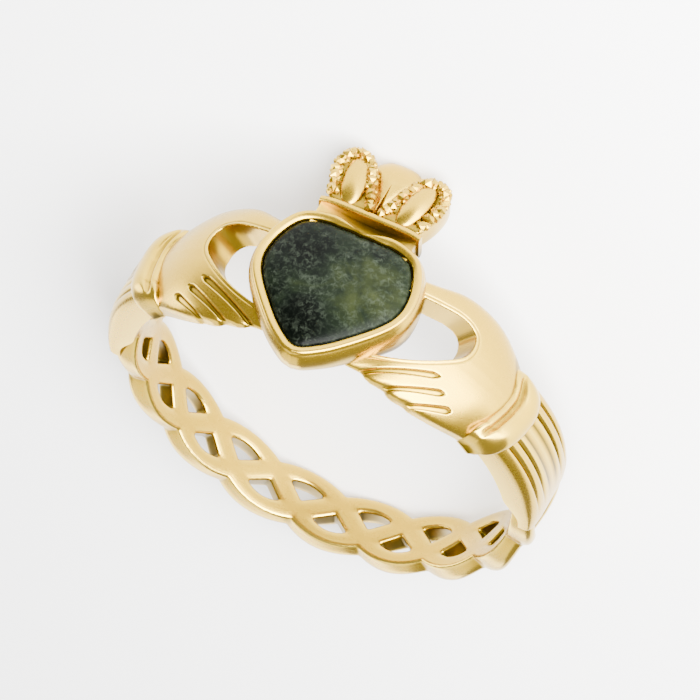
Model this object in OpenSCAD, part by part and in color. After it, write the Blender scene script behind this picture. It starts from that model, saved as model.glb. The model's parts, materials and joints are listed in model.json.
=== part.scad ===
// Claddagh ring: two hands hold a crowned heart set with a green marble cabochon, on a band of
// three-strand plait. The ring is one gold casting, and the stone is the only loose piece.
// It lies on its side, on the tip of its crown and the edge of its plait, with its head to -Y.

/* [Finger] */
// Diameter of the finger hole
finger_d = 17.3; // [15.5:0.1:20]

/* [Plait] */
// Width of the plait over its lobes, along the finger
plait_w = 2.85; // [2.4:0.05:3.6]
// Thickness of the plait at its edges
plait_t = 1.05; // [0.9:0.05:1.3]
// Length of a lobe round the finger, made a little longer or shorter so that all come out equal
lobe_l = 3.2; // [2.8:0.1:3.8]
// Width of a strand where it turns back at an edge
strand_edge_w = 0.64; // [0.5:0.02:0.8]
// Width of a strand where it crosses the middle
strand_mid_w = 1.12; // [0.9:0.02:1.3]
// Rise of a strand over the plait's thickness, and its drop below it, at a crossing
weave_rise = 0.12; // [0.05:0.01:0.2]

/* [Sleeves] */
// Distance round the finger from the middle of the head to where a sleeve ends on the plait
sleeve_end_s = 13.7; // [12.8:0.1:14.6]
// Width of a sleeve where it ends on the plait
sleeve_w = 3.5; // [3.2:0.05:4]
// Width of a sleeve at its cuff
sleeve_cuff_w = 3.6; // [3.2:0.05:4]
// Thickness of a sleeve where it ends on the plait
sleeve_t = 1.2; // [1:0.05:1.5]
// Thickness of a sleeve at its cuff
sleeve_cuff_t = 1.35; // [1.2:0.05:1.5]
// Swelling of a sleeve halfway along
sleeve_swell = 0.2; // [0:0.05:0.4]
// Length of the hollow under a sleeve's end, where the plait runs on inside
sleeve_hollow_l = 2; // [1:0.1:3]
// Number of pleats on a sleeve
pleat_n = 7; // [4:1:9]
// Depth of the furrows between pleats
pleat_depth = 0.14; // [0.05:0.01:0.2]

/* [Cuffs] */
// Distance round the finger from the middle of the head to the middle of a cuff
cuff_s = 8.55; // [8.3:0.05:8.9]
// Length of a cuff, round the finger
cuff_l = 1.05; // [0.8:0.05:1.3]
// Width of a cuff, along the finger
cuff_w = 4.1; // [3.8:0.05:4.6]
// How far a cuff lies to the finger side of the band's middle
cuff_shift = 0.35; // [0.1:0.05:0.6]
// Thickness of a cuff
cuff_t = 1.8; // [1.65:0.05:2]
// Length of the thin ridge between a cuff and a hand
ridge_l = 0.4; // [0.3:0.02:0.6]
// Thickness of the ridge
ridge_t = 1.52; // [1.4:0.02:1.6]
// How far the middle of a cuff bows away from the hand
cuff_bow = 1.15; // [0.8:0.05:1.5]

/* [Hands] */
// Distance from the middle of the finger hole to the finger side of a hand
hand_low = 3.1; // [2.9:0.05:3.4]
// Distance from the middle of the finger hole to the thumb side of a hand
hand_high = 2.32; // [2.1:0.02:2.5]
// Thickness of a hand
hand_t = 1.4; // [1.25:0.05:1.5]
// Width of the grooves between fingers
groove_w = 0.3; // [0.2:0.02:0.4]
// Depth of the grooves between fingers
groove_depth = 0.22; // [0.1:0.02:0.3]

/* [Setting] */
// Width of the heart-shaped setting
setting_w = 6.84; // [6.5:0.02:7.2]
// Length of the setting, from its tip to its lobes
setting_l = 6.68; // [6.3:0.02:7]
// Distance from the middle of the finger hole to the tip of the setting
setting_tip = 4.12; // [4:0.02:4.4]
// Height of the setting's rim over the finger
setting_t = 1.5; // [1.4:0.05:1.8]
// Width of the rim round the stone
rim_w = 0.4; // [0.3:0.02:0.5]
// Width of the rim at the notch of the heart
rim_notch_w = 0.14; // [0.1:0.01:0.2]
// Roundness of the rim's edges
rim_round = 0.12; // [0.05:0.01:0.15]
// Swelling of the setting's wall, halfway down
setting_swell = 0.15; // [0:0.05:0.3]
// Thickness of the floor under the stone, at its middle
floor_t = 0.5; // [0.4:0.05:0.6]

/* [Stone] */
// Gap between the stone and its setting
stone_gap = 0.04; // [0.02:0.01:0.08]
// Rise of the stone's dome over the rim
stone_rise = 0.3; // [0.1:0.05:0.6]
// Depth of the stone's edge below the rim
stone_inset = 0.2; // [0.15:0.05:0.3]

/* [Crown] */
// Distance from the middle of the finger hole to the bar at the foot of the crown
crown_foot = 2.98; // [2.9:0.02:3.2]
// Distance from the middle of the finger hole to the top of the crown
crown_reach = 6.3; // [6.1:0.02:6.6]
// Distance from the middle of the finger hole to the top of a petal
petal_reach = 5.88; // [5.7:0.02:6]
// Width of the crown over its petals
crown_w = 5.3; // [4.9:0.05:5.8]
// Width of the lobe between the petals
lobe_w = 2.3; // [2:0.05:2.6]
// Length of the bar at the foot of the crown
bar_w = 4.5; // [4:0.05:4.7]
// Thickness of the bar
bar_l = 0.3; // [0.2:0.02:0.4]
// Thickness of the crown
crown_t = 1.25; // [1:0.05:1.4]
// Diameter of the beads along the petals
bead_d = 0.36; // [0.28:0.02:0.44]
// Number of beads round a petal
bead_n = 17; // [12:1:20]

/* [Hidden] */

GOLD = [0.85, 0.68, 0.36];
MARBLE = [0.20, 0.27, 0.20];
finger_r = finger_d / 2;
head_z = finger_r + setting_t;
crown_low = head_z - crown_t;
// Pieces reach this far into the finger hole before it is cut
root = 0.3;
// Share of the heart's half outline over which its rim narrows towards the notch
notch_share = 0.12;

// Hand, from the setting to the wrist. Columns: share of the way to the cuff, finger side as a
// share of hand_low, thumb side as a share of hand_high, then the thickness at the finger side,
// the middle and the thumb side as shares of hand_t
HAND = [
    [0.15, 0.89, 0.65, 0.18, 0.75, 1.03],
    [0.27, 0.92, 0.67, 0.25, 0.79, 1.03],
    [0.38, 0.96, 0.76, 0.39, 0.87, 0.98],
    [0.50, 0.99, 0.92, 0.50, 0.93, 0.86],
    [0.62, 0.95, 1.00, 0.57, 0.97, 0.73],
    [0.74, 0.87, 0.97, 0.60, 0.98, 0.68],
    [0.87, 0.76, 0.82, 0.60, 0.96, 0.64],
    [1.00, 0.72, 0.62, 0.60, 0.93, 0.60]
];
// Opening between thumb and fingers. Columns: share of the way round, share of the way from the
// middle of the head to the cuff, place along the finger as a share of hand_high
OPENING = [
    [0.00, 0.25, 0.42],
    [0.15, 0.44, 0.56],
    [0.25, 0.56, 0.64],
    [0.35, 0.64, 0.56],
    [0.45, 0.67, 0.29],
    [0.55, 0.65, 0.00],
    [0.65, 0.58, -0.28],
    [0.78, 0.48, -0.57],
    [0.90, 0.37, -0.78],
    [1.00, 0.25, -0.92]
];
// Grooves between fingers. Columns: wrist end and tip as shares of the way to the cuff, wrist end
// and tip along the finger as shares of hand_low
GROOVES = [
    [0.58, 0.29, 0.45, 0.89],
    [0.64, 0.42, 0.59, 0.94],
    [0.71, 0.53, 0.70, 0.99]
];
// Heart, half of its outline. Columns: share of the way from notch to tip, place across as a share
// of half the width, place along as a share of the length from the tip
HEART = [
    [0.00, 0.00, 0.955],
    [0.15, 0.40, 1.00],
    [0.30, 0.80, 0.92],
    [0.45, 1.00, 0.68],
    [0.60, 0.94, 0.44],
    [0.80, 0.50, 0.165],
    [0.93, 0.17, 0.03],
    [1.00, 0.00, 0.00]
];
// Bow of a cuff. Columns: share of the way from the finger side to the thumb side, share of the bow
BOW = [
    [0.00, 0.62],
    [0.20, 0.30],
    [0.50, 0.03],
    [0.70, 0.00],
    [1.00, 0.30]
];
// Petal, its line of beads. Columns: share of the way round, place across as a share of half the
// crown's width, place along as a share of the petal's length
PETAL = [
    [0.00, 0.08, 0.04],
    [0.18, 0.22, 0.38],
    [0.36, 0.38, 0.76],
    [0.45, 0.50, 0.91],
    [0.54, 0.67, 0.96],
    [0.63, 0.84, 0.90],
    [0.74, 0.93, 0.68],
    [0.87, 0.87, 0.36],
    [1.00, 0.77, 0.04]
];
// Lobe between the petals, half of its outline. Columns: share of the way from foot to top, place
// across as a share of half its width, place along as a share of its length
LOBE = [
    [0.00, 0.10, 0.00],
    [0.40, 0.62, 0.40],
    [0.65, 0.98, 0.70],
    [0.80, 0.92, 0.86],
    [0.92, 0.50, 0.98],
    [1.00, 0.00, 1.00]
];

// Angle from the head, for a distance round the finger
function turn(s) = s / finger_r * 180 / PI;
// Point at an angle from the head, a place along the finger and a thickness over the finger
function at(a, y, t) = [(finger_r + t) * sin(a), y, (finger_r + t) * cos(a)];
// Smooth step from 0 to 1
function ease(t) = let (u = max(0, min(1, t))) u * u * (3 - 2 * u);
// Value of a column of a table, on a smooth curve through its rows
function curve(rows, col, t) =
    let (
        n = len(rows) - 1,
        i = max([0, for (k = [0 : n - 1]) if (rows[k][0] <= t) k]),
        u = (t - rows[i][0]) / (rows[i + 1][0] - rows[i][0]),
        b = rows[i][col],
        c = rows[i + 1][col],
        a = i > 0 ? rows[i - 1][col] : 2 * b - c,
        d = i < n - 1 ? rows[i + 2][col] : 2 * c - b
    )
    b + u / 2 * (c - a + u * (2 * a - 5 * b + 4 * c - d + u * (3 * (b - c) + d - a)));
// Middle of the box round some points
function middle(row) =
    [for (k = [0 : len(row[0]) - 1])
        let (c = [for (p = row) p[k]])
        (min(c) + max(c)) / 2];
// Triangles between rows of points, each row a closed loop
function wall_faces(n, m) =
    [for (i = [0 : n - 2], j = [0 : m - 1])
        let (a = i * m + j, b = i * m + (j + 1) % m)
        each [[a, b, b + m], [a, b + m, a + m]]];
// Triangles from a closed row to a point at its middle
function cap_faces(first, m, tip, flip) =
    [for (j = [0 : m - 1])
        let (a = first + j, b = first + (j + 1) % m)
        flip ? [tip, b, a] : [tip, a, b]];

// Solid through closed rows of points, which turn clockwise as seen from the first row's side
module loft(rows) {
    n = len(rows);
    m = len(rows[0]);
    polyhedron(
        points = [each [for (row = rows) each row], middle(rows[0]), middle(rows[n - 1])],
        faces = [
            each wall_faces(n, m),
            each cap_faces(0, m, n * m, true),
            each cap_faces((n - 1) * m, m, n * m + 1, false)
        ]
    );
}

// Solid through an outline that is scaled about its middle at some heights. Steps: scale, height
module stack(outline, steps) {
    c = middle(outline);
    loft([for (step = steps)
        [for (p = outline) [c[0] + (p[0] - c[0]) * step[0], c[1] + (p[1] - c[1]) * step[0], step[1]]]]);
}

// Cutter with an outline of distances round and along the finger, from some depths outwards
module radial_cut(outline, low) {
    all = [0 : len(outline) - 1];
    loft([
        [for (k = all) at(turn(outline[k][0]), outline[k][1], low[k])],
        [for (k = all) at(turn(outline[k][0]), outline[k][1], hand_t * 2)]
    ]);
}

module both_sides() {
    for (side = [0, 1])
        mirror([side, 0, 0])
            children();
}

// Plait: strands swing from edge to edge, wide in the middle and narrow at the edges
lobe_n = round(PI * finger_d / lobe_l);
lobe_turn = 360 / lobe_n;
swing = (plait_w - strand_edge_w) / 2;
strand_steps = 8;
// Height of a strand's shoulders, as a share of its thickness
strand_shoulder = 0.82;
function strand_row(a, p, low) =
    let (
        y = swing * cos(p),
        w = (strand_edge_w + (strand_mid_w - strand_edge_w) * pow(sin(p), 2)) / 2,
        t = plait_t + weave_rise * sin(2 * p),
        flat = 0.5
    )
    [at(a, y - w, low), at(a, y - w, t * strand_shoulder), at(a, y - w * flat, t),
     at(a, y + w * flat, t), at(a, y + w, t * strand_shoulder), at(a, y + w, low)];
// The sections of the three strands are staggered, so that no faces or edges fall together
module strand(k) {
    first = turn(sleeve_end_s - sleeve_hollow_l) - lobe_turn / strand_steps;
    steps = ceil((180 - first) / lobe_turn * strand_steps);
    stagger = (k + 0.5) / 3;
    loft([for (i = [-steps : steps])
        let (b = (i + stagger) * lobe_turn / strand_steps)
        strand_row(180 + b, 120 * (b / lobe_turn + k) + 60, -root * (1 + stagger / 2))]);
}
module plait() {
    for (k = [0 : 2])
        strand(k);
}

// Sleeve: pleats that fade towards its end
sleeve_from = cuff_s - cuff_l / 2;
function sleeve_row(t, low) =
    let (
        a = turn(sleeve_from + (sleeve_end_s - sleeve_from) * t),
        w = sleeve_cuff_w + (sleeve_w - sleeve_cuff_w) * t,
        mid = -cuff_shift / 2 * (1 - t),
        top = sleeve_cuff_t + (sleeve_t - sleeve_cuff_t) * t + sleeve_swell * sin(180 * t),
        depth = pleat_depth * (1 - ease((t - 0.55) / 0.45)),
        edge_drop = 0.12
    )
    [at(a, mid - w / 2, low),
     for (i = [0 : 2 * pleat_n])
        let (u = i / pleat_n - 1)
        at(a, mid + w / 2 * u, top - (i % 2 == 0 ? depth : 0) - edge_drop * pow(u, 4)),
     at(a, mid + w / 2, low)];
module sleeve() {
    hollow = 1 - sleeve_hollow_l / (sleeve_end_s - sleeve_from);
    gap = 0.005;
    loft([
        for (t = [0, 0.15, 0.3, 0.45, 0.6, hollow]) sleeve_row(t, -root),
        for (t = [hollow + gap, 0.88, 1]) sleeve_row(t, plait_t * 0.6)
    ]);
}

// Cuff: a rounded band that bows away from the hand
function band_row(s, l, t, u) =
    let (
        e = 0.7 + 0.3 * sqrt(max(0, 1 - pow(abs(2 * u - 1), 4))),
        a = s - cuff_bow * curve(BOW, 1, u),
        y = cuff_w * (u - 0.5) - cuff_shift
    )
    [for (p = [[-1, -root], [1, -root], [1, 0.6 * t * e], [0.7, 0.88 * t * e], [0, t * e],
               [-0.7, 0.88 * t * e], [-1, 0.6 * t * e]])
        at(turn(a + p[0] * l / 2), y, p[1])];
module band(s, l, t) {
    loft([for (u = [0, 0.05, 0.15, 0.3, 0.45, 0.6, 0.75, 0.87, 0.95, 1]) band_row(s, l, t, u)]);
}
module cuff() {
    band(cuff_s, cuff_l, cuff_t);
    band(cuff_s - cuff_l / 2 - ridge_l / 2, ridge_l, ridge_t);
}

// Hand: thumb above, fingers below, with an opening between and grooves between the fingers
function hand_t_at(f, y) =
    let (
        low = -hand_low * curve(HAND, 1, f),
        high = hand_high * curve(HAND, 2, f),
        v = (2 * y - low - high) / (high - low)
    )
    hand_t * (curve(HAND, 3, f) * v * (v - 1) / 2
        + curve(HAND, 4, f) * (1 - v * v)
        + curve(HAND, 5, f) * v * (v + 1) / 2);
function hand_row(f) =
    let (
        a = turn(cuff_s * f),
        low = -hand_low * curve(HAND, 1, f),
        high = hand_high * curve(HAND, 2, f),
        n = 8
    )
    [at(a, low, -root),
     for (i = [0 : n])
        let (y = low + (high - low) * i / n)
        at(a, y, hand_t_at(f, y)),
     at(a, high, -root)];
module hand_blank() {
    n = 14;
    from = HAND[0][0];
    loft([for (i = [0 : n]) hand_row(from + (1 - from) * i / n)]);
}
module opening() {
    n = 24;
    row = [for (i = [0 : n])
        [cuff_s * curve(OPENING, 1, i / n), hand_high * curve(OPENING, 2, i / n)]];
    radial_cut(row, [for (p = row) -2 * root]);
}
module groove(g) {
    a = [cuff_s * g[0], -hand_low * g[2]];
    b = [cuff_s * g[1], -hand_low * g[3]];
    d = (b - a) / norm(b - a);
    side = [-d[1], d[0]] * groove_w / 2;
    row = [a, a + d * groove_w * 0.7 + side, b + d * groove_w + side * 0.4,
           b + d * groove_w - side * 0.4, a + d * groove_w * 0.7 - side];
    radial_cut(row, [for (p = row) hand_t_at(p[0] / cuff_s, p[1]) - groove_depth]);
}
module hand() {
    difference() {
        hand_blank();
        opening();
        for (g = GROOVES)
            groove(g);
    }
}

// Setting: a heart-shaped cup with a rounded rim
heart_steps = 20;
function heart_at(t) =
    t < 0 ? let (p = heart_at(-t)) [-p[0], p[1]]
    : t > 1 ? let (p = heart_at(2 - t)) [-p[0], p[1]]
    : [setting_w / 2 * curve(HEART, 1, t), setting_l * curve(HEART, 2, t) - setting_tip];
function rim_at(t) = rim_notch_w + (rim_w - rim_notch_w) * ease(min(t, 2 - t) / notch_share);
// Outline moved in by a share of the rim's width and a distance more
function heart(share, more) =
    [for (i = [0 : 2 * heart_steps - 1])
        let (
            t = i / heart_steps,
            d = heart_at(t + 0.01) - heart_at(t - 0.01),
            out = [-d[1], d[0]] / norm(d)
        )
        heart_at(t) - out * (rim_at(t) * share + more)];
function raised(outline, z) = [for (p = outline) [p[0], p[1], z]];
module setting() {
    loft([
        raised(heart(0, setting_swell), finger_r * cos(turn(setting_w / 2)) - root),
        raised(heart(0, -setting_swell), finger_r + setting_t / 2),
        raised(heart(0, 0), head_z - rim_round * 2),
        raised(heart(0, rim_round * 0.3), head_z - rim_round * 0.7),
        raised(heart(0, rim_round), head_z)
    ]);
}
module stone_pocket() {
    loft([
        raised(heart(1, 0), finger_r + floor_t),
        raised(heart(1, 0), head_z - stone_inset),
        raised(heart(1, -rim_round / 2), head_z + rim_round)
    ]);
}

// Crown: a bar, two petals with a line of beads, and a plain lobe between them
petal_l = petal_reach - crown_foot - bar_l;
bead_rise = 0.12;
leaf_rise = 0.1;
lobe_drop = 0.18;
ledge_drop = 0.55;
function petal_at(t) =
    [crown_w / 2 * curve(PETAL, 1, t), crown_foot + bar_l + petal_l * curve(PETAL, 2, t)];
module petal() {
    n = 18;
    line = [for (i = [0 : n]) petal_at(i / n)];
    c = middle(line);
    top = head_z - bead_rise;
    translate([0, 0, crown_low])
        linear_extrude(height = top - crown_low)
            polygon([for (p = line) p + (p - c) / norm(p - c) * bead_d * 0.45]);
    leaf = [for (p = line) c + (p - c) * 0.62];
    stack(leaf, [[1, top - leaf_rise], [1, top], [0.85, head_z], [0.4, head_z + leaf_rise]]);
    for (i = [0 : bead_n - 1])
        translate([each petal_at((i + 0.5) / bead_n), top])
            sphere(d = bead_d, $fn = 16);
}
module lobe() {
    n = 10;
    foot = crown_foot + bar_l;
    half = [for (i = [0 : n])
        let (t = i / n)
        [lobe_w / 2 * curve(LOBE, 1, t), foot + (crown_reach - foot) * curve(LOBE, 2, t)]];
    outline = [for (p = half) [-p[0], p[1]], for (i = [n - 1 : -1 : 0]) half[i]];
    top = head_z - lobe_drop;
    stack(outline, [[1, crown_low], [1, top - 0.27], [0.93, top - 0.12], [0.6, top]]);
}
module crown() {
    // The ledge stops short of the bar's faces, so that no faces fall together
    short = 0.02;
    ledge_w = bar_w - 0.2;
    ledge_y = crown_foot / 2;
    translate([-bar_w / 2, crown_foot, crown_low])
        cube([bar_w, bar_l, crown_t]);
    translate([-ledge_w / 2, ledge_y, crown_low + short])
        cube([ledge_w, crown_foot + bar_l - short - ledge_y, crown_t - ledge_drop - short]);
    both_sides()
        petal();
    lobe();
}

// Resting place: on the tip of the crown and on the two lobes of the plait beside its bottom
edge_r = finger_r + plait_t * strand_shoulder;
rest_span = [crown_reach - plait_w / 2, crown_low + edge_r * cos(lobe_turn / 2)];
rest_tilt = atan2(rest_span[0], rest_span[1]);
rest_z = crown_reach * cos(rest_tilt) - crown_low * sin(rest_tilt);
front_y = head_z * cos(rest_tilt) + crown_reach * sin(rest_tilt);
back_y = (finger_r + plait_t) * cos(rest_tilt) + plait_w / 2 * sin(rest_tilt);
module at_rest() {
    translate([0, (front_y - back_y) / 2, rest_z])
        rotate([rest_tilt - 90, 0, 180])
            children();
}

module head() {
    difference() {
        union() {
            setting();
            crown();
        }
        stone_pocket();
    }
}
module ring_body() {
    color(GOLD)
        at_rest()
            difference() {
                union() {
                    plait();
                    both_sides() {
                        sleeve();
                        cuff();
                        hand();
                    }
                    head();
                }
                rotate([90, 0, 0])
                    cylinder(d = finger_d, h = 4 * crown_reach, center = true, $fn = 180);
            }
}

module heart_stone() {
    low = finger_r + floor_t + stone_gap;
    edge = head_z - stone_inset;
    rise = stone_inset + stone_rise;
    color(MARBLE)
        at_rest()
            stack(heart(1, stone_gap), [
                [1, low], [1, edge], for (s = [0.94, 0.82, 0.62, 0.35, 0.08]) [s, edge + rise * (1 - s * s)]
            ]);
}

ring_body();
heart_stone();
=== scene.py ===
import json
import math
import random

import bmesh
import bpy
import numpy as np
from mathutils import Matrix, Vector


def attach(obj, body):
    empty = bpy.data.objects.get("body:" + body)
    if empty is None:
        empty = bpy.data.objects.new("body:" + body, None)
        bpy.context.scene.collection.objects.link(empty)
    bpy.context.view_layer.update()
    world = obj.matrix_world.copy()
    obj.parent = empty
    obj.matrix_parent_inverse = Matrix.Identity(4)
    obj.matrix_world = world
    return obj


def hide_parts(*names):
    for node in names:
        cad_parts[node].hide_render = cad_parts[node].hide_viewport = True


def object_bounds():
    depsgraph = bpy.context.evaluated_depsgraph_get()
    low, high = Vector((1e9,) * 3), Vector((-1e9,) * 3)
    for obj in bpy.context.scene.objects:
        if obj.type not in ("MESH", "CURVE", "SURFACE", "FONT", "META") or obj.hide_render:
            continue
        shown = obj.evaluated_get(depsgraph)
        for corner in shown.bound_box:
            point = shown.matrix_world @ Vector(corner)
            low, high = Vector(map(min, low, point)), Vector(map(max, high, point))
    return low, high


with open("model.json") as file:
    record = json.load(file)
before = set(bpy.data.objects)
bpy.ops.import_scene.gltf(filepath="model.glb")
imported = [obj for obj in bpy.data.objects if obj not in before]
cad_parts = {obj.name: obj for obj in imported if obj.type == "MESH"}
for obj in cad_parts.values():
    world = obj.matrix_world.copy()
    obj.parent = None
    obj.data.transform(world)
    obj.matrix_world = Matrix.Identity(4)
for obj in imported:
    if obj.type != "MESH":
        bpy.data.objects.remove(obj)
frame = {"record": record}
cad_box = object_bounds()

# Place of the ring
# The ring lies on its side. Its pieces are made in millimetres from the middle of the plait: X across the
# head, Y along the finger towards the crown, Z from the finger up through the head.
bore = frame["record"]["mounts"][0]
finger_r = bore["dims"]["r_mm"]
crown_way = -Vector(bore["axis"])
head_way = Vector((0, -bore["axis"][2], bore["axis"][1]))
across = crown_way.cross(head_way)
plait_from_bore = 0.78
middle = Vector(bore["pos_m"]) + crown_way * plait_from_bore / 1000
placement = Matrix.Translation(middle) @ Matrix((across, crown_way, head_way)).transposed().to_4x4()
placement = placement @ Matrix.Scale(0.001, 4)

# Camera
# It looks along the finger and down on the head, as in the photo, from above the floor.
camera_right = Vector((0.8946, 0.4469, 0.0060))
camera_down = Vector((0.3797, -0.7529, -0.5375))
camera_ahead = Vector((-0.2357, 0.4831, -0.8432))
camera_far = 25 * finger_r
camera_shift_right = -0.067 * finger_r
camera_shift_down = 0.2794 * finger_r
bpy.ops.object.camera_add()
camera = bpy.context.object
camera.name = "photo_camera"
camera.data.lens = 268.1
camera.data.sensor_width = 36
camera.data.clip_start = 0.01
camera.data.clip_end = 10
station = -(camera_right * camera_shift_right + camera_down * camera_shift_down + camera_ahead * camera_far)
turned = Matrix((camera_right, -camera_down, -camera_ahead)).transposed()
camera.location = placement @ station
camera.rotation_euler = (placement.to_3x3().normalized() @ turned).to_euler()
bpy.context.scene.camera = camera

# Floor
# A pale, matt tabletop, which the ring lies on.
floor_size = 3.0
bpy.ops.mesh.primitive_plane_add(size=floor_size, location=(0, 0, cad_box[0][2]))
floor = bpy.context.object
floor.name = "floor"
floor_paint = bpy.data.materials.new("floor_paint")
floor_paint.use_nodes = True
floor_shader = floor_paint.node_tree.nodes["Principled BSDF"]
floor_shader.inputs["Base Color"].default_value = (0.95, 0.95, 0.945, 1)
floor_shader.inputs["Roughness"].default_value = 0.8
floor.data.materials.append(floor_paint)

# Light
# A large soft box in front washes the table, and a low white card beside it puts the long highlights on the
# gold. Weaker boxes and cards behind and beside the ring light what faces away, and the surround is dim.
world = bpy.data.worlds.new("studio")
world.use_nodes = True
world.node_tree.nodes["Background"].inputs["Color"].default_value = (1, 0.99, 0.97, 1)
world.node_tree.nodes["Background"].inputs["Strength"].default_value = 0.7
bpy.context.scene.world = world
ring_centre = Vector((0, 0, 0.004))


def soft_box(name, place, width, height, brightness):
    """Adds an area light that faces the ring, at a place in millimetres from it."""
    bpy.ops.object.light_add(type="AREA", location=Vector(place) / 1000)
    light = bpy.context.object
    light.name = name
    light.data.shape = "RECTANGLE"
    light.data.size = width / 1000
    light.data.size_y = height / 1000
    light.data.energy = math.pi * light.data.size * light.data.size_y * brightness
    light.rotation_euler = (ring_centre - light.location).to_track_quat("-Z", "Y").to_euler()


soft_box("key", (-60, -60, 80), 100, 80, 50.0)
soft_box("low_card", (-80, -78, 22), 110, 44, 32.0)
soft_box("back", (45, 130, 130), 150, 150, 3.5)
soft_box("low_back_card", (45, 120, 18), 120, 34, 10.0)
soft_box("side_card", (120, 10, 20), 70, 40, 12.0)

# Gold
# Fourteen carat yellow gold, cast and polished, with faint polishing marks; a painted highlight makes it pale
# on its edges and a painted shade makes it amber in its hollows. The functions below it shape, mark and place
# the pieces.
SOCKETS = [
    ("Color", "NodeSocketColor"),
    ("Roughness", "NodeSocketFloat"),
    ("Height", "NodeSocketFloat"),
]
gold_finish = bpy.data.node_groups.new("gold_finish", "ShaderNodeTree")
for socket, kind in SOCKETS:
    gold_finish.interface.new_socket(name=socket, in_out="OUTPUT", socket_type=kind)
nodes = gold_finish.nodes
link = gold_finish.links.new
places = nodes.new("ShaderNodeTexCoord")
hollow = nodes.new("ShaderNodeAttribute")
hollow.attribute_name = "hollow"
clouds = nodes.new("ShaderNodeTexNoise")
clouds.inputs["Scale"].default_value = 420
clouds.inputs["Detail"].default_value = 3
marks = nodes.new("ShaderNodeTexNoise")
marks.inputs["Scale"].default_value = 7000
marks.inputs["Detail"].default_value = 2
# Painted light: a pale painted highlight on raised edges (0), plain gold (0.5), a dark amber painted shade in
# hollows (1)
tone = nodes.new("ShaderNodeValToRGB")
tone.color_ramp.elements[0].position = 0.0
tone.color_ramp.elements[0].color = (0.58, 0.40, 0.05, 1)
tone.color_ramp.elements[1].position = 1.0
tone.color_ramp.elements[1].color = (0.06, 0.042, 0.003, 1)
plain_tone = tone.color_ramp.elements.new(0.5)
plain_tone.color = (0.43, 0.27, 0.016, 1)
cloudy = nodes.new("ShaderNodeMapRange")
cloudy.inputs["To Min"].default_value = 0.94
cloudy.inputs["To Max"].default_value = 1.05
shade = nodes.new("ShaderNodeMix")
shade.data_type = "RGBA"
shade.blend_type = "MULTIPLY"
shade.inputs["Factor"].default_value = 1.0
dull = nodes.new("ShaderNodeMapRange")
dull.inputs["From Min"].default_value = 0.3
dull.inputs["From Max"].default_value = 1.0
dull.inputs["To Min"].default_value = 0.24
dull.inputs["To Max"].default_value = 0.38
worn = nodes.new("ShaderNodeMapRange")
worn.inputs["To Min"].default_value = -0.015
worn.inputs["To Max"].default_value = 0.015
rough = nodes.new("ShaderNodeMath")
rough.operation = "ADD"
sockets = nodes.new("NodeGroupOutput")
link(places.outputs["Object"], clouds.inputs["Vector"])
link(places.outputs["Object"], marks.inputs["Vector"])
link(hollow.outputs["Fac"], tone.inputs["Fac"])
link(clouds.outputs["Fac"], cloudy.inputs["Value"])
link(tone.outputs["Color"], shade.inputs["A"])
link(cloudy.outputs["Result"], shade.inputs["B"])
link(hollow.outputs["Fac"], dull.inputs["Value"])
link(marks.outputs["Fac"], worn.inputs["Value"])
link(dull.outputs["Result"], rough.inputs[0])
link(worn.outputs["Result"], rough.inputs[1])
link(shade.outputs["Result"], sockets.inputs["Color"])
link(rough.outputs["Value"], sockets.inputs["Roughness"])
link(marks.outputs["Fac"], sockets.inputs["Height"])

gold = bpy.data.materials.new("polished_gold")
gold.use_nodes = True
finish = gold.node_tree.nodes.new("ShaderNodeGroup")
finish.node_tree = gold_finish
marking = gold.node_tree.nodes.new("ShaderNodeBump")
marking.inputs["Strength"].default_value = 0.015
marking.inputs["Distance"].default_value = 0.00002
gold_shader = gold.node_tree.nodes["Principled BSDF"]
gold_shader.inputs["Metallic"].default_value = 1.0
gold.node_tree.links.new(finish.outputs["Color"], gold_shader.inputs["Base Color"])
gold.node_tree.links.new(finish.outputs["Roughness"], gold_shader.inputs["Roughness"])
gold.node_tree.links.new(finish.outputs["Height"], marking.inputs["Height"])
gold.node_tree.links.new(marking.outputs["Normal"], gold_shader.inputs["Normal"])


def curve(rows, column, t):
    """A column of a table at t, on a smooth curve through its rows."""
    last = len(rows) - 1
    i = max([0] + [k for k in range(last) if rows[k][0] <= t])
    u = (t - rows[i][0]) / (rows[i + 1][0] - rows[i][0])
    b = rows[i][column]
    c = rows[i + 1][column]
    a = rows[i - 1][column] if i > 0 else 2 * b - c
    d = rows[i + 2][column] if i < last - 1 else 2 * c - b
    return b + u / 2 * (c - a + u * (2 * a - 5 * b + 4 * c - d + u * (3 * (b - c) + d - a)))


def ease(t):
    """A smooth step from 0 to 1."""
    u = min(max(t, 0), 1)
    return u * u * (3 - 2 * u)


def power(value, exponent):
    """A power that keeps the value's sign."""
    return math.copysign(abs(value) ** exponent, value)


# Points of a skin that lie closer than this, in millimetres, are one point
same_point = 0.0004


def skin(name, along, around, place):
    """A grid drawn into a closed skin. place(u, v) is a point's place, u along the piece and v round it."""
    bpy.ops.object.select_all(action="DESELECT")
    bpy.ops.mesh.primitive_grid_add(x_subdivisions=along, y_subdivisions=around, size=1)
    piece = bpy.context.object
    piece.name = name
    for vertex in piece.data.vertices:
        vertex.co = place(vertex.co.x + 0.5, vertex.co.y + 0.5)
    bpy.ops.object.mode_set(mode="EDIT")
    bpy.ops.mesh.select_all(action="SELECT")
    bpy.ops.mesh.remove_doubles(threshold=same_point)
    bpy.ops.mesh.fill_holes(sides=0)
    bpy.ops.mesh.normals_make_consistent(inside=False)
    bpy.ops.object.mode_set(mode="OBJECT")
    return piece


def join(name, pieces):
    """Joins pieces into one object."""
    bpy.ops.object.select_all(action="DESELECT")
    for piece in pieces:
        piece.select_set(True)
    bpy.context.view_layer.objects.active = pieces[0]
    bpy.ops.object.join()
    pieces[0].name = name
    return pieces[0]


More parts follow.
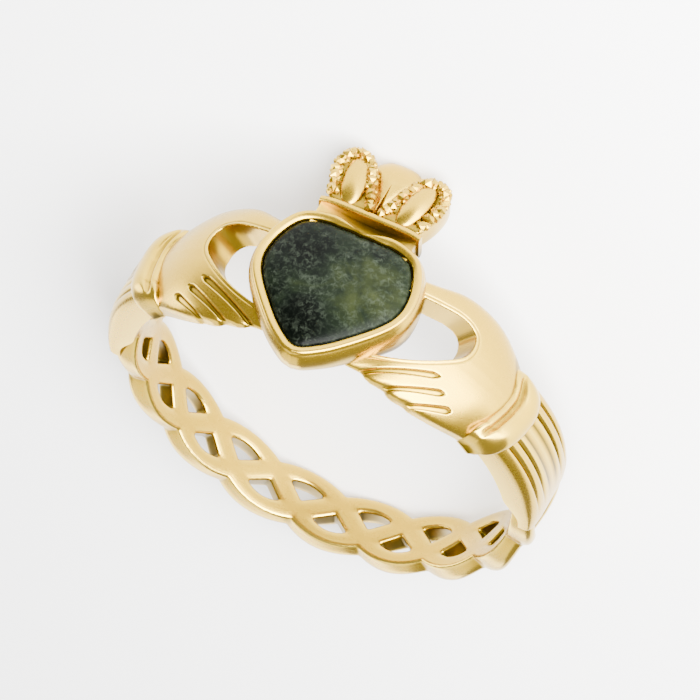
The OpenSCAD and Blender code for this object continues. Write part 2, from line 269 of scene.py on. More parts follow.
def settle(piece, kind, **values):
    """Adds a modifier with these values and applies it."""
    bpy.ops.object.select_all(action="DESELECT")
    piece.select_set(True)
    bpy.context.view_layer.objects.active = piece
    modifier = piece.modifiers.new(kind.lower(), kind)
    for key, value in values.items():
        setattr(modifier, key, value)
    bpy.ops.object.modifier_apply(modifier=modifier.name)


def melt(piece, grain, polish):
    """Casts a piece's overlapping solids into one skin and polishes its edges round."""
    settle(piece, "REMESH", mode="VOXEL", voxel_size=grain)
    settle(piece, "SMOOTH", factor=0.5, iterations=polish)


def roll(piece):
    """Bends a piece round the finger. Its X is the distance round the hole, its Z the thickness over it."""
    for vertex in piece.data.vertices:
        s, y, t = vertex.co
        vertex.co = ((finger_r + t) * math.sin(s / finger_r), y, (finger_r + t) * math.cos(s / finger_r))


def mark_hollows(piece, reach, depth, start=0.5):
    """Keeps in each point how far it lies below its surroundings: start on even ground, 1 in a hollow.

    The surroundings are the mesh evened out reach times, and a distance of depth below them adds 1. The gold
    takes a painted shade from this in its hollows, and a painted highlight on its raised edges.
    """
    mesh = piece.data
    points = np.zeros(len(mesh.vertices) * 3)
    mesh.vertices.foreach_get("co", points)
    points = points.reshape(-1, 3)
    outward = np.zeros(len(mesh.vertices) * 3)
    mesh.vertices.foreach_get("normal", outward)
    outward = outward.reshape(-1, 3)
    ends = np.zeros(len(mesh.edges) * 2, int)
    mesh.edges.foreach_get("vertices", ends)
    ends = ends.reshape(-1, 2)
    count = np.bincount(ends.ravel(), minlength=len(points))
    even = points.copy()
    for _ in range(reach):
        total = np.zeros_like(even)
        for axis in range(3):
            total[:, axis] = np.bincount(ends[:, 0], even[ends[:, 1], axis], len(points))
            total[:, axis] += np.bincount(ends[:, 1], even[ends[:, 0], axis], len(points))
        even = 0.5 * even + 0.5 * total / np.maximum(count, 1)[:, None]
    below = ((even - points) * outward).sum(1) / depth
    layer = mesh.attributes.new("hollow", "FLOAT", "POINT")
    layer.data.foreach_set("value", np.clip(start + below, 0, 1))


def darken(piece, share):
    """Marks places as hollows: painted shade darkens them, and they are rougher, as a polishing wheel doesn't
    reach them.
    share(place) is how far, 0 to 1.
    """
    layer = piece.data.attributes["hollow"]
    for vertex in piece.data.vertices:
        value = layer.data[vertex.index].value
        layer.data[vertex.index].value = value + (1 - value) * share(vertex.co)


def dress(piece, material, node, sharp=None):
    """Puts a finished piece in its place on the ring, with its material."""
    bpy.ops.object.select_all(action="DESELECT")
    piece.select_set(True)
    bpy.context.view_layer.objects.active = piece
    piece.data.transform(placement)
    if sharp:
        bpy.ops.object.shade_smooth_by_angle(angle=math.radians(sharp))
    else:
        bpy.ops.object.shade_smooth()
    piece.data.materials.clear()
    piece.data.materials.append(material)
    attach(piece, "root")
    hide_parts(node)


def other_side(piece, name):
    """Adds the same piece on the other side of the head."""
    twin = piece.copy()
    twin.data = piece.data.copy()
    twin.name = name
    bpy.context.collection.objects.link(twin)
    twin.data.transform(Matrix.Scale(-1, 4, (1, 0, 0)))
    twin.data.flip_normals()
    return twin


# Plait
# The band is a plait of three strands, cast in one with the head. A strand is flat inside and round outside.
# It is narrow where it turns back at an edge and wide where it crosses, over one strand and under the next.
plait_w = 2.85
plait_t = 1.05
strand_n = 3
strand_edge_w = 0.64
strand_mid_w = 1.14
strand_side_round = 0.7
strand_back_round = 0.75
strand_face_round = 0.12
weave_rise = 0.13
weave_start = 60
lobe_turn = math.tau / 17
plait_end_s = 11.8
swing = (plait_w - strand_edge_w) / 2
half_plait = math.pi - plait_end_s / finger_r


def strand(k):
    """One of the strands. Each has the form of the one before it, moved on round the band by one lobe."""
    def place(u, v):
        b = (2 * u - 1) * half_plait
        p = math.radians(360 / strand_n * (b / lobe_turn + k) + weave_start)
        w = (strand_edge_w + (strand_mid_w - strand_edge_w) * math.sin(p) ** 2) / 2
        t = plait_t + weave_rise * math.sin(2 * p)
        ring = math.tau * (v % 1)
        if math.sin(ring) > 0:
            z = t * (0.5 + 0.5 * math.sin(ring) ** strand_back_round)
        else:
            z = t * 0.5 * (1 - abs(math.sin(ring)) ** strand_face_round)
        y = swing * math.cos(p) + w * power(math.cos(ring), strand_side_round)
        return Vector((finger_r * (math.pi + b), y, z))
    return skin("strand", along=260, around=28, place=place)


plait = join("plait", [strand(k) for k in range(strand_n)])
melt(plait, grain=0.06, polish=4)
roll(plait)
mark_hollows(plait, reach=14, depth=0.06)

openings_reach = 1.02
opening_shade_and_dull = 0.75


def opening_wall(place):
    """How much painted shade darkens and dulls the walls of the plait's openings. They lie between its faces,
    short of its edges.
    """
    t = math.hypot(place.x, place.z) - finger_r
    above_face = ease((t - 0.05) / 0.1)
    below_back = ease((0.8 * plait_t - t) / 0.2)
    off_edges = ease((openings_reach - abs(place.y)) / 0.12)
    return opening_shade_and_dull * above_face * below_back * off_edges


darken(plait, opening_wall)
dress(plait, gold, "ring_body")

# Cuffs
# Each hand ends in a thin ridge and a thick rounded cuff, both bowed away from the hand. They are cast in one
# with it, and their rounded ends stand out over its sides.
cuff_s = 8.55
cuff_l = 1.05
cuff_w = 4.1
cuff_shift = 0.35
cuff_t = 1.8
cuff_bow = 1.15
# Columns: share of the way from the finger side to the thumb side, share of the bow
BOW = [
    (0.00, 0.62),
    (0.20, 0.30),
    (0.50, 0.03),
    (0.70, 0.00),
    (1.00, 0.30),
]


def cuff_line(y):
    """Distance round the finger of the middle of the cuff."""
    return cuff_s - cuff_bow * curve(BOW, 1, min(max((y + cuff_shift) / cuff_w + 0.5, 0), 1))


# Section of the ridge and the cuff. Columns: share of the way over it, distance from the cuff's middle as a
# share of its length, height as a share of its thickness
SECTION = [
    (0.00, -0.84, 0.02),
    (0.12, -0.86, 0.45),
    (0.20, -0.85, 0.72),
    (0.26, -0.74, 0.82),
    (0.32, -0.61, 0.80),
    (0.36, -0.53, 0.765),
    (0.40, -0.46, 0.82),
    (0.47, -0.36, 0.94),
    (0.56, 0.00, 1.00),
    (0.66, 0.36, 0.93),
    (0.74, 0.50, 0.76),
    (0.85, 0.52, 0.45),
    (1.00, 0.50, 0.02),
]
# Share of the way round that the section takes, before the skin closes along the finger
section_share = 0.85
# The ends, as shares of the cuff's length and thickness, and how round they are
end_round = 4
end_l_share = 0.5
end_t_share = 0.3
end_dome = 0.25
end_lean = 0.1
plain_round = 0.4
parting_start = 0.55
parting_run = 0.4
foot_z = 0.02


def cuff_skin(u, v):
    """A point of the ridge and cuff, which shrink and run together into one round form at each end."""
    turn = math.cos(math.pi * u)
    swell = (1 - abs(turn) ** end_round) ** 0.5
    y = -cuff_shift - cuff_w / 2 * turn
    slant = math.hypot(1, (cuff_line(y + 0.05) - cuff_line(y - 0.05)) / 0.1)
    over = min(v / section_share, 1)
    back = max(0, (v - section_share) / (1 - section_share))
    x = curve(SECTION, 1, over) * (1 - back) + SECTION[0][1] * back
    plain = math.sin(math.pi * min(max(over, 0.03), 0.98)) ** plain_round
    parted = ease((swell - parting_start) / parting_run)
    z = plain + (curve(SECTION, 2, over) - plain) * parted
    z = z * (end_t_share + (1 - end_t_share) * swell)
    if abs(turn) > 0.999:
        z = foot_z + end_dome * over * (1 - over)
    run = cuff_l * slant * (end_l_share + (1 - end_l_share) * swell) * (x + end_lean * (1 - swell))
    return Vector((cuff_line(y) + run, y, cuff_t * z))


cuff = skin("cuff_right", along=72, around=110, place=cuff_skin)
roll(cuff)
mark_hollows(cuff, reach=10, depth=0.05)
left_cuff = other_side(cuff, "cuff_left")
dress(cuff, gold, "ring_body")
dress(left_cuff, gold, "ring_body")

# Sleeves
# A pleated sleeve runs from each cuff to the plait, cast in one with both. The pleats are deep at the cuff
# and fade into a plain hem, and the plait runs in under it.
sleeve_end_s = 13.7
sleeve_w = 3.5
sleeve_cuff_w = 3.6
sleeve_t = 1.2
sleeve_cuff_t = 1.38
sleeve_swell = 0.2
sleeve_hollow_l = 1.9
sleeve_hollow_t = 0.55
hollow_slope_l = 1.5
sleeve_side_round = 0.45
sleeve_top_round = 0.16
edge_drop = 0.1
under_cuff = 0.1
pleat_n = 7
pleat_depth = 0.15
fade_start = 0.4
fade_run = 0.5
hem_round = 0.16
hem_t_share = 0.55
hem_lean = 0.08


def sleeve_skin(u, v):
    """A point of the sleeve. It is hollow below from some way before its hem."""
    along = math.sin(math.pi / 2 * u)
    w = (sleeve_cuff_w + (sleeve_w - sleeve_cuff_w) * along) / 2
    mid = -cuff_shift / 2 * (1 - along)
    top = sleeve_cuff_t + (sleeve_t - sleeve_cuff_t) * along + sleeve_swell * math.sin(math.pi * along)
    ring = math.tau * v
    share = power(math.cos(ring), sleeve_side_round)
    y = mid + w * share
    start = cuff_line(y) - under_cuff
    s = start + (sleeve_end_s - start) * along
    hem = math.sqrt(max(0, 1 - max(0, 1 - (sleeve_end_s - s) / hem_round) ** 2))
    wave = abs(math.sin(math.pi * pleat_n / 2 * (share + 1)))
    depth = pleat_depth * (1 - ease((along - fade_start) / fade_run)) * (1 - abs(share) ** 8)
    z = low = sleeve_hollow_t * ease((s - sleeve_end_s + sleeve_hollow_l) / hollow_slope_l)
    if math.sin(ring) >= 0:
        top += -edge_drop * abs(share) ** 4 - depth * (1 - wave) ** 2
        z = low + (top - low) * math.sin(ring) ** sleeve_top_round * (hem_t_share + (1 - hem_t_share) * hem)
    return Vector((s - hem_lean * (1 - hem), y, z))


sleeve = skin("sleeve_right", along=90, around=280, place=sleeve_skin)
roll(sleeve)
mark_hollows(sleeve, reach=10, depth=0.05)
left_sleeve = other_side(sleeve, "sleeve_left")
dress(sleeve, gold, "ring_body", sharp=50)
dress(left_sleeve, gold, "ring_body", sharp=50)

# Setting
# The heart-shaped cup that holds the stone, cast in one with the hands: a rounded rim that slopes in to the
# stone, over a wall that swells. Its back is closed and follows the finger.
setting_w = 6.84
setting_l = 6.68
setting_tip = 4.12
setting_t = 1.5
rim_w = 0.4
rim_notch_w = 0.14
notch_reach = 0.12
head_z = finger_r + setting_t
heart_middle = Vector((0, -0.6))
# Half of the outline. Columns: share of the way from notch to tip, place across as a share of half the
# width, place along as a share of the length from the tip
HEART = [
    (0.00, 0.00, 0.955),
    (0.15, 0.40, 1.00),
    (0.30, 0.80, 0.92),
    (0.45, 1.00, 0.68),
    (0.60, 0.94, 0.44),
    (0.80, 0.50, 0.165),
    (0.93, 0.17, 0.03),
    (1.00, 0.00, 0.00),
]
# Section of the cup, from below outwards, up and into the pocket. Columns: distance in from the outline,
# share of the rim's width in from the outline, height below the rim. The first rows have no height of their
# own, because the wall rises evenly from the finger to the first height.
CUP = [
    (0.10, 0.0),
    (-0.08, 0.0),
    (-0.15, 0.0, 0.75),
    (-0.13, 0.0, 0.50),
    (-0.07, 0.0, 0.30),
    (-0.03, 0.0, 0.20),
    (0.0, 0.0, 0.17),
    (0.01, 0.0, 0.10),
    (0.04, 0.0, 0.04),
    (0.09, 0.0, 0.005),
    (0.0, 0.45, 0.0),
    (0.0, 0.75, 0.035),
    (0.0, 0.95, 0.09),
    (0.0, 1.0, 0.15),
    (0.01, 1.0, 0.40),
    (0.04, 1.0, 0.98),
]


def heart_at(t):
    """A point on the heart's outline, from its notch at 0 to its tip at 1, and on to the notch at 2."""
    t = (t + 1) % 2 - 1
    x = setting_w / 2 * curve(HEART, 1, abs(t))
    return Vector((x if t >= 0 else -x, setting_l * curve(HEART, 2, abs(t)) - setting_tip))


def heart_in(t, distance, share):
    """The heart's outline, moved in by a distance and a share of the rim's width."""
    way = heart_at(t + 0.01) - heart_at(t - 0.01)
    out = Vector((-way.y, way.x)).normalized()
    near_notch = abs((t + 1) % 2 - 1)
    rim = rim_notch_w + (rim_w - rim_notch_w) * ease(near_notch / notch_reach)
    return heart_at(t) - out * (distance + share * rim)


# Loops that close the cup below and that close its pocket, and rows up to the first height
middle_loops = 3
rising_rows = 2


def cup(u, v):
    """A point of the cup, from the middle of its back out, up the wall, over the rim and into the pocket."""
    rows = len(CUP) - 1
    around = 2 * v
    step = u * (rows + 2 * middle_loops)
    if step <= middle_loops:
        spot = heart_middle.lerp(heart_in(around, CUP[0][0], 0), step / middle_loops)
        return Vector((spot.x, spot.y, math.sqrt(finger_r ** 2 - min(abs(spot.x), finger_r) ** 2)))
    if step >= rows + middle_loops:
        share = (rows + 2 * middle_loops - step) / middle_loops
        spot = heart_middle.lerp(heart_in(around, *CUP[rows][:2]), share)
        return Vector((spot.x, spot.y, head_z - CUP[rows][2]))
    i = round(step - middle_loops)
    spot = heart_in(around, CUP[i][0], CUP[i][1])
    if i < rising_rows:
        back_z = math.sqrt(finger_r ** 2 - spot.x ** 2)
        z = back_z + (head_z - CUP[rising_rows][2] - back_z) * i / rising_rows
    else:
        z = head_z - CUP[i][2]
    return Vector((spot.x, spot.y, z))


heart_line = np.array([heart_at(i / 60) for i in range(-60, 60)])


def from_heart(place):
    """Distance across from the heart's outline."""
    return math.sqrt(((heart_line - place.xy) ** 2).sum(1).min())


seam_drop = 1.15
seam_w = 0.25
setting_shade_and_dull = 0.9


def setting_seam(place):
    """How much painted shade darkens and dulls the foot of the setting's wall, where the hands meet it."""
    return setting_shade_and_dull * ease((head_z - seam_drop - place.z) / 0.2) * ease((seam_w - from_heart(place)) / 0.1)


setting = skin("setting", along=len(CUP) - 1 + 2 * middle_loops, around=200, place=cup)
settle(setting, "SUBSURF", levels=1)
mark_hollows(setting, reach=6, depth=0.12)
darken(setting, setting_seam)
dress(setting, gold, "ring_body", sharp=60)

# Hands
# Each hand lies round the finger and holds the setting: the thumb above, four fingers parted by grooves
# below, and a drop-shaped opening between them.
hand_low = 3.1
hand_high = 2.32
hand_t = 1.4
groove_w = 0.26
groove_depth = 0.14
groove_taper = 0.35
groove_soft = 0.06
lip_w = 0.14
lip_depth = 0.03
lip_soft = 0.05
tip_notch = 0.17
tip_notch_w = 0.3
side_round = 0.6
back_round = 0.28
# Columns: share of the way to the cuff, finger side as a share of hand_low, thumb side as a share of
# hand_high, then the thickness at the finger side, the middle and the thumb side as shares of hand_t
HAND = [
    (0.15, 0.89, 0.70, 0.18, 0.75, 1.10),
    (0.27, 0.92, 0.75, 0.25, 0.79, 1.12),
    (0.38, 0.96, 0.87, 0.39, 0.88, 1.08),
    (0.50, 0.99, 1.05, 0.50, 0.95, 0.98),
    (0.62, 0.95, 1.12, 0.57, 1.00, 0.84),
    (0.74, 0.87, 1.08, 0.60, 1.01, 0.76),
    (0.87, 0.76, 0.90, 0.60, 0.98, 0.69),
    (1.00, 0.72, 0.66, 0.60, 0.93, 0.62),
]
# Columns: share of the way round, share of the way to the cuff, place along the finger as a share of
# hand_high
OPENING = [
    (0.00, 0.25, 0.35),
    (0.15, 0.43, 0.48),
    (0.25, 0.54, 0.54),
    (0.35, 0.61, 0.45),
    (0.45, 0.635, 0.21),
    (0.55, 0.62, -0.05),
    (0.65, 0.56, -0.31),
    (0.78, 0.47, -0.58),
    (0.90, 0.37, -0.78),
    (1.00, 0.25, -0.92),
]
# Columns: wrist end and tip as shares of the way to the cuff, wrist end and tip as shares of hand_low
GROOVES = [
    (0.58, 0.29, 0.45, 0.89),
    (0.64, 0.42, 0.59, 0.94),
    (0.71, 0.53, 0.70, 0.99),
]


def hand_sides(f):
    """Places of a hand's finger side and thumb side, at a share of the way to the cuff."""
    return -hand_low * curve(HAND, 1, f), hand_high * curve(HAND, 2, f)


def hand_at(f, y):
    """Thickness of a hand, at a share of the way to the cuff and a place along the finger."""
    low, high = hand_sides(f)
    v = (2 * y - low - high) / (high - low)
    t_low, t_mid, t_high = (curve(HAND, column, f) for column in (3, 4, 5))
    return hand_t * (t_low * v * (v - 1) / 2 + t_mid * (1 - v * v) + t_high * v * (v + 1) / 2)


def hand_top(f, y):
    """Height of a hand's back, which rounds off to its sides."""
    low, high = hand_sides(f)
    share = min(abs(2 * y - low - high) / (high - low), 1)
    return hand_at(f, y) * math.sqrt(1 - share ** (2 / side_round)) ** back_round


def hand_blank(u, v):
    """A point of the hand before its opening is cut."""
    f = HAND[0][0] + (1 - HAND[0][0]) * u
    low, high = hand_sides(f)
    ring = math.tau * v
    y = (low + high) / 2 + (high - low) / 2 * power(math.cos(ring), side_round)
    return Vector((min(cuff_s * f, cuff_line(y)), y, hand_top(f, y) if math.sin(ring) > 0 else 0))


def opening_line(t):
    """A point on the edge of the opening."""
    return Vector((cuff_s * curve(OPENING, 1, t), hand_high * curve(OPENING, 2, t)))


# Share of the way round that the table takes, before the opening closes in a straight line
opening_share = 0.92
cutter_low = -1
cutter_high = 3


def opening_cut(u, v):
    """A point of the cutter, which goes right through the hand."""
    closed = max(0, (v - opening_share) / (1 - opening_share))
    spot = opening_line(min(v / opening_share, 1)).lerp(opening_line(0), closed)
    return Vector((spot.x, spot.y, cutter_low + (cutter_high - cutter_low) * u))


def press(piece):
    """Presses the grooves between the fingers and the line round the opening, and notches the fingertips.

    Only the back of the hand is pressed, so the press fades out down the sides.
    """
    lip = np.array([opening_line(i / 120) for i in range(121)])
    for vertex in piece.data.vertices:
        x, y, z = vertex.co
        f = min(max(x / cuff_s, HAND[0][0]), 1)
        back = ease((z / hand_at(f, y) - 0.45) / 0.3)
        depth = 0
        push = Vector((0, 0))
        for row in GROOVES:
            a = Vector((cuff_s * row[0], -hand_low * row[2]))
            run = Vector((cuff_s * row[1], -hand_low * row[3])) - a
            share = (Vector((x, y)) - a).dot(run) / run.length_squared
            if share > 0:
                off = (Vector((x, y)) - a - run * share).length
                width = groove_w / 2 * min(1, share / 0.1) ** 0.6 * (1 - groove_taper * ease(share))
                depth = max(depth, groove_depth * (1 - ease((off - width + 0.04) / groove_soft)))
                near_tip = ease((share - 0.75) / 0.35)
                push -= run.normalized() * tip_notch * near_tip * (1 - ease(off / tip_notch_w))
        edge = math.sqrt(((lip - (x, y)) ** 2).sum(1).min())
        depth = max(depth, lip_depth * (1 - ease(abs(edge - lip_w) / lip_soft)))
        vertex.co = (x + push.x, y + push.y, z - depth * back)


hand = skin("hand_right", along=60, around=96, place=hand_blank)
melt(hand, grain=0.045, polish=1)
cutter = skin("cutter", along=1, around=72, place=opening_cut)
settle(hand, "BOOLEAN", operation="DIFFERENCE", object=cutter, solver="EXACT")
bpy.data.objects.remove(cutter)
melt(hand, grain=0.038, polish=4)
press(hand)
roll(hand)
mark_hollows(hand, reach=10, depth=0.05)

ridge_seam_w = 1.0
ridge_seam_low = -2.2
ridge_shade_and_dull = 0.6
heart_seam_w = 0.14


def hand_seam(place):
    """How much painted shade darkens and dulls the seams on the back of the hand, along the setting and along
    the ridge of the cuff.
    """
    s = finger_r * math.atan2(place.x, place.z)
    raised = ease((math.hypot(place.x, place.z) - finger_r - 0.3) / 0.2)
    near_ridge = ease((s - cuff_line(place.y) + ridge_seam_w) / 0.1) * ease((place.y - ridge_seam_low) / 0.2)
    near_heart = 1 - ease((from_heart(place) - 0.02) / heart_seam_w)
    return raised * max(ridge_shade_and_dull * near_ridge, near_heart)


darken(hand, hand_seam)
left_hand = other_side(hand, "hand_left")
dress(hand, gold, "ring_body")
dress(left_hand, gold, "ring_body")

# Stone
# A low cabochon of green marble, cut to the heart and cemented into the pocket.
stone_gap = 0.035
stone_rise = 0.3
stone_inset = 0.2
stone_back_z = head_z - 0.9
girdle_z = head_z - stone_inset
# Columns: share of the way out from the middle of the heart, share of the dome's rise
DOME = [
    (1.00, 0.00),
    (0.985, 0.12),
    (0.95, 0.27),
    (0.88, 0.45),
    (0.76, 0.64),
    (0.58, 0.81),
    (0.38, 0.92),
    (0.18, 0.98),
]
dome_rows = len(DOME) + 2


def cabochon(u, v):
    """A point of the stone, from the middle of its flat back out, up its side and over the dome."""
    edge = heart_in(2 * v, stone_gap, 1.0)
    step = round(u * dome_rows)
    if step == 0:
        return Vector((heart_middle.x, heart_middle.y, stone_back_z))
    if step == 1:
        return Vector((edge.x, edge.y, stone_back_z))
    if step == dome_rows:
        return Vector((heart_middle.x, heart_middle.y, girdle_z + stone_inset + stone_rise))
    share, rise = DOME[step - 2]
    spot = heart_middle.lerp(edge, share)
    return Vector((spot.x, spot.y, girdle_z + (stone_inset + stone_rise) * rise))


marble = bpy.data.materials.new("green_marble")
marble.use_nodes = True
tree = marble.node_tree
marble_shader = tree.nodes["Principled BSDF"]
marble_shader.inputs["Specular IOR Level"].default_value = 0.03
marble_shader.inputs["Roughness"].default_value = 0.3
stone_places = tree.nodes.new("ShaderNodeTexCoord")
base_noise = tree.nodes.new("ShaderNodeTexNoise")
base_noise.inputs["Scale"].default_value = 480
base_noise.inputs["Detail"].default_value = 8
base_noise.inputs["Roughness"].default_value = 0.62
base_noise.inputs["Distortion"].default_value = 0.6
base_tone = tree.nodes.new("ShaderNodeValToRGB")
for position, color in (
    (0.28, (0.0004, 0.0007, 0.0004, 1)),
    (0.42, (0.0012, 0.0020, 0.0012, 1)),
    (0.52, (0.0030, 0.0048, 0.0023, 1)),
    (0.62, (0.0060, 0.0084, 0.0029, 1)),
    (0.80, (0.0132, 0.0168, 0.0054, 1)),
):
    stop = base_tone.color_ramp.elements.new(position)
    stop.color = color
base_tone.color_ramp.elements.remove(base_tone.color_ramp.elements[0])
base_tone.color_ramp.elements.remove(base_tone.color_ramp.elements[-1])
speckle = tree.nodes.new("ShaderNodeTexNoise")
speckle.inputs["Scale"].default_value = 4200
speckle.inputs["Detail"].default_value = 7
speckle.inputs["Roughness"].default_value = 0.75
speckle.inputs["Distortion"].default_value = 0.8
patches = tree.nodes.new("ShaderNodeTexNoise")
patches.inputs["Scale"].default_value = 900
patches.inputs["Detail"].default_value = 3
patchy = tree.nodes.new("ShaderNodeMapRange")
patchy.inputs["From Min"].default_value = 0.35
patchy.inputs["From Max"].default_value = 0.65
patchy.inputs["To Min"].default_value = 0.2
speckled_share = tree.nodes.new("ShaderNodeMath")
speckled_share.operation = "MULTIPLY"
speckle_share = tree.nodes.new("ShaderNodeMapRange")
speckle_share.inputs["From Min"].default_value = 0.48
speckle_share.inputs["From Max"].default_value = 0.72
speckle_share.inputs["To Max"].default_value = 0.75
speckled = tree.nodes.new("ShaderNodeMix")
speckled.data_type = "RGBA"
speckled.inputs["B"].default_value = (0.031, 0.039, 0.027, 1)
marking_layer = tree.nodes.new("ShaderNodeAttribute")
marking_layer.attribute_name = "marking"
marked = tree.nodes.new("ShaderNodeMath")
marked.operation = "ADD"

tree.links.new(stone_places.outputs["Object"], base_noise.inputs["Vector"])
tree.links.new(stone_places.outputs["Object"], speckle.inputs["Vector"])
tree.links.new(base_noise.outputs["Fac"], marked.inputs[0])
tree.links.new(marking_layer.outputs["Fac"], marked.inputs[1])
tree.links.new(marked.outputs["Value"], base_tone.inputs["Fac"])
tree.links.new(speckle.outputs["Fac"], speckle_share.inputs["Value"])
tree.links.new(stone_places.outputs["Object"], patches.inputs["Vector"])
tree.links.new(patches.outputs["Fac"], patchy.inputs["Value"])
tree.links.new(speckle_share.outputs["Result"], speckled_share.inputs[0])
tree.links.new(patchy.outputs["Result"], speckled_share.inputs[1])
tree.links.new(speckled_share.outputs["Value"], speckled.inputs["Factor"])
tree.links.new(base_tone.outputs["Color"], speckled.inputs["A"])
tree.links.new(speckled.outputs["Result"], marble_shader.inputs["Base Color"])

# The stone's large markings. Columns: place across and along as shares of half the setting's width, reach in
# the same share, darkness (below 0) or paleness (above 0)
MARKS = [
    (-0.50, 0.10, 0.30, -0.17),
    (-0.14, -0.70, 0.22, -0.36),
    (0.14, 0.14, 0.28, 0.18),
    (0.50, 0.02, 0.26, 0.09),
    (0.34, 0.42, 0.12, -0.14),
    (0.00, -0.25, 0.22, -0.07),
    (0.35, -0.45, 0.20, -0.04),
]


def marking_at(spot):
    """How much darker or paler the markings make the stone at a spot. Each fades out from its middle."""
    total = 0
    for x, y, reach, paleness in MARKS:
        total += paleness * math.exp(-((spot - Vector((x, y))).length / reach) ** 2)
    return total


stone = skin("stone", along=dome_rows, around=160, place=cabochon)
settle(stone, "SUBSURF", levels=1)
layer = stone.data.attributes.new("marking", "FLOAT", "POINT")
for vertex in stone.data.vertices:
    layer.data[vertex.index].value = marking_at(vertex.co.xy * 2 / setting_w)
dress(stone, marble, "heart_stone", sharp=50)

# Crown
# A bar over the notch of the heart carries two petals and a plain lobe, all cast in one with the setting.
# Each petal is a flange with a raised leaf, and a row of hammered beads follows its edge.
crown_foot = 2.98
crown_reach = 6.3
petal_reach = 5.88
crown_w = 5.3
lobe_w = 2.3
bar_w = 4.5
bar_l = 0.3
crown_t = 1.25
bead_d = 0.42
bead_n = 20
leaf_l = 2.35
leaf_w = 1.1
leaf_lean = 0.16
crown_low = head_z - crown_t
petal_l = petal_reach - crown_foot - bar_l
# Line of beads. Columns: share of the way round, place across as a share of half the crown's width, place
# along as a share of the petal's length
PETAL = [
    (0.00, 0.10, 0.04),
    (0.18, 0.23, 0.38),
    (0.36, 0.38, 0.74),
    (0.45, 0.50, 0.88),
    (0.54, 0.65, 0.92),
    (0.63, 0.80, 0.86),
    (0.74, 0.88, 0.66),
    (0.87, 0.83, 0.36),
    (1.00, 0.72, 0.04),
]
# Half of the outline of the lobe. Columns: share of the way from foot to top, place across as a share of half
# its width, place along as a share of its length
LOBE = [
    (0.00, 0.10, 0.00),
    (0.40, 0.62, 0.40),
    (0.65, 0.98, 0.70),
    (0.80, 0.92, 0.86),
    (0.92, 0.50, 0.98),
    (1.00, 0.00, 1.00),
]


def domed(name, outline, centre, steps, around):
    """A closed skin whose loops are an outline drawn in about its middle.

    The columns of steps are the share of the way out to the outline and the height.
    """
    def place(u, v):
        share, z = steps[round(u * (len(steps) - 1))]
        spot = centre.lerp(outline(v), share)
        return Vector((spot.x, spot.y, z))
    return skin(name, along=len(steps) - 1, around=around, place=place)


def lobe_outline(v):
    """A point on the lobe's outline, which starts inside the bar."""
    t = 1 - abs(2 * v - 1)
    x = lobe_w / 2 * curve(LOBE, 1, t)
    foot = crown_foot + bar_l / 2
    return Vector((x if v < 0.5 else -x, foot + (crown_reach - foot) * curve(LOBE, 2, t)))


lobe_middle = Vector((0, 5.0))
lobe_steps = [
    (0, crown_low),
    (0.97, crown_low),
    (1, crown_low + 0.06),
    (1, head_z - 0.8),
    (0.98, head_z - 0.66),
    (0.92, head_z - 0.54),
    (0.8, head_z - 0.41),
    (0.6, head_z - 0.28),
    (0.3, head_z - 0.19),
    (0, head_z - 0.16),
]
lobe = domed("crown_lobe", lobe_outline, lobe_middle, lobe_steps, around=72)
settle(lobe, "SUBSURF", levels=1)
mark_hollows(lobe, reach=6, depth=0.2)
dress(lobe, gold, "ring_body", sharp=60)


def petal_line(t):
    """A point on the line of beads of the right petal."""
    return Vector((crown_w / 2 * curve(PETAL, 1, t), crown_foot + bar_l + petal_l * curve(PETAL, 2, t)))


petal_middle = Vector((crown_w / 2 * 0.53, crown_foot + bar_l + petal_l * 0.48))
leaf_middle = petal_middle - Vector((0.02, 0.12))
# Share of the way round that the line of beads takes, before the outline closes along the bar
beads_share = 0.85


def petal_outline(v):
    """The line of beads, closed along the bar and moved out by about half a bead."""
    if v < beads_share:
        spot = petal_line(v / beads_share)
    else:
        spot = petal_line(1).lerp(petal_line(0), (v - beads_share) / (1 - beads_share))
    return spot + (spot - petal_middle).normalized() * bead_d * 0.5


flange_z = head_z - 0.12
flange_steps = [
    (0, crown_low),
    (0.97, crown_low),
    (1, crown_low + 0.06),
    (1, flange_z - 0.06),
    (0.97, flange_z),
    (0.7, flange_z),
    (0.6, flange_z - 0.1),
    (0, flange_z - 0.1),
]
leaf_steps = [
    (0, flange_z - 0.2),
    (1, flange_z - 0.2),
    (1, flange_z - 0.02),
    (0.95, head_z - 0.06),
    (0.85, head_z + 0.01),
    (0.65, head_z + 0.08),
    (0.4, head_z + 0.14),
    (0.15, head_z + 0.17),
    (0, head_z + 0.175),
]


def leaf_outline(v):
    """A point on the leaf's outline, an oval that leans out."""
    ring = math.tau * v
    y = leaf_l / 2 * math.sin(ring)
    return leaf_middle + Vector((leaf_w / 2 * power(math.cos(ring), 0.8) + y * leaf_lean, y))


flange_shade_and_dull = 0.7


def flange_floor(place):
    """How much painted shade darkens and dulls the flange between the leaf and the beads."""
    return flange_shade_and_dull if flange_z - 0.15 < place.z < flange_z + 0.01 else 0


flange = domed("flange", petal_outline, petal_middle, flange_steps, around=90)
leaf = domed("leaf", leaf_outline, leaf_middle, leaf_steps, around=60)
settle(flange, "SUBSURF", levels=1)
settle(leaf, "SUBSURF", levels=1)
petal = join("petal_right", [flange, leaf])
mark_hollows(petal, reach=6, depth=0.15)
darken(petal, flange_floor)
left_petal = other_side(petal, "petal_left")
dress(petal, gold, "ring_body", sharp=60)
dress(left_petal, gold, "ring_body", sharp=60)

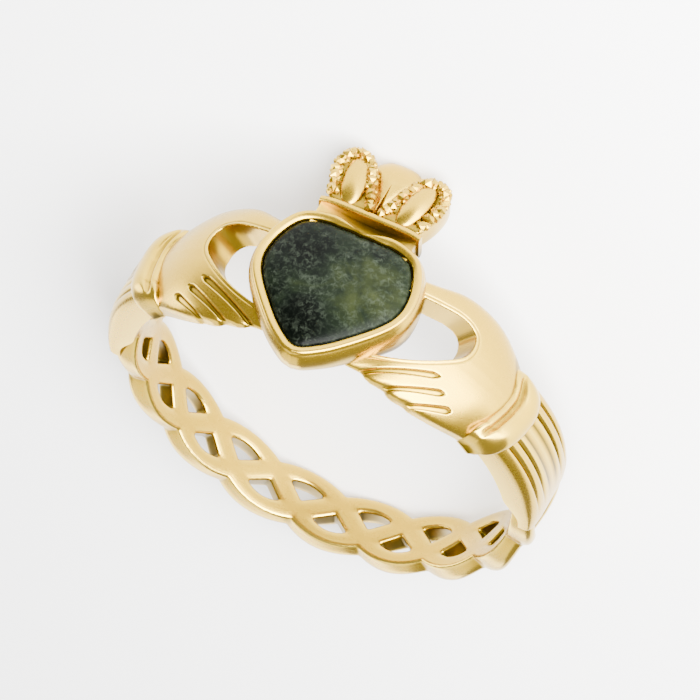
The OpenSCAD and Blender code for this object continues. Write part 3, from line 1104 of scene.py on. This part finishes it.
# Beads
# The beads are struck by hand, so each is a small faceted nugget of its own size. Two smaller ones follow
# each large one, by turns inside and outside the line.
large_sizes = (1.0, 1.25)
small_sizes = (0.5, 0.8)
small_n = 2
small_off = 0.17
nugget_n = (1 + small_n) * bead_n
stray = 0.3
dents = (0.85, 1.15)
luck = random.Random(7)
for side, name in ((1, "beads_right"), (-1, "beads_left")):
    row = bmesh.new()
    for i in range(nugget_n):
        large = i % (1 + small_n) == 0
        size = bead_d * luck.uniform(*(large_sizes if large else small_sizes))
        spot = petal_line((i + 1 + luck.uniform(-stray, stray)) / (nugget_n + 1))
        away = luck.uniform(-0.02, 0.05) if large else small_off * (-1) ** i
        spot = spot + (spot - petal_middle).normalized() * away
        spin = Matrix.Rotation(luck.uniform(0, 6), 4, "Z") @ Matrix.Rotation(luck.uniform(0, 6), 4, "X")
        place = Matrix.Translation((side * spot.x, spot.y, flange_z + size * 0.1)) @ spin
        made = bmesh.ops.create_icosphere(row, subdivisions=1, radius=size / 2, matrix=place)
        for vertex in made["verts"]:
            centre = place.translation
            vertex.co = centre + (vertex.co - centre) * luck.uniform(*dents)
    mesh = bpy.data.meshes.new(name)
    row.to_mesh(mesh)
    row.free()
    beads = bpy.data.objects.new(name, mesh)
    bpy.context.collection.objects.link(beads)
    # Painted shade darkens the beads most of the way to the amber of the hollows; their sharpest points stay
    # paler.
    mark_hollows(beads, reach=1, depth=0.2, start=0.8)
    dress(beads, gold, "ring_body", sharp=15)

# Bar
# The bar closes the foot of the crown, and a ledge below it fills the notch of the heart. The bar's ends bend
# to the heart, and the ledge dips in its middle.
bar_mid_y = crown_foot + bar_l / 2
bar_mid_z = (crown_low + head_z) / 2
bar_bend = 0.14
bar_top_round = 0.25
ledge_w = bar_w - 0.2
ledge_mid_y = 2.45
ledge_half_l = 0.75
ledge_drop = 0.14
ledge_dip = 0.5
ledge_top_round = 0.3
side_square = 0.4


def bar_skin(u, v):
    """A point of the bar, whose section is a rounded box."""
    ring = math.tau * v
    y = bar_mid_y + bar_l / 2 * power(math.cos(ring), side_square) - bar_bend * abs(2 * u - 1) ** 6
    return Vector(((u - 0.5) * bar_w, y, bar_mid_z + crown_t / 2 * power(math.sin(ring), bar_top_round)))


def ledge_skin(u, v):
    """A point of the ledge, whose section is a rounded box too."""
    ring = math.tau * v
    height = crown_t - ledge_drop - ledge_dip * math.sin(math.pi * u) ** 0.8
    y = ledge_mid_y + ledge_half_l * power(math.cos(ring), side_square)
    z = crown_low + height * (0.5 + 0.5 * power(math.sin(ring), ledge_top_round))
    return Vector(((u - 0.5) * ledge_w, y, z))


def bar_seam(place):
    """How much painted shade darkens and dulls the bar's wall on the side of the heart, below its rounded
    edge.
    """
    return ease((head_z - 0.16 - place.z) / 0.1) if place.y < bar_mid_y else 0


def ledge_seam(place):
    """How much painted shade darkens and dulls the ledge, most of all in its dip."""
    return 0.3 + 0.3 * ease((1.9 - abs(place.x)) / 0.5)


bar = skin("crown_bar", along=40, around=28, place=bar_skin)
ledge = skin("crown_ledge", along=40, around=24, place=ledge_skin)
mark_hollows(bar, reach=3, depth=0.2)
mark_hollows(ledge, reach=3, depth=0.2)
darken(bar, bar_seam)
darken(ledge, ledge_seam)
dress(bar, gold, "ring_body", sharp=50)
dress(ledge, gold, "ring_body", sharp=50)
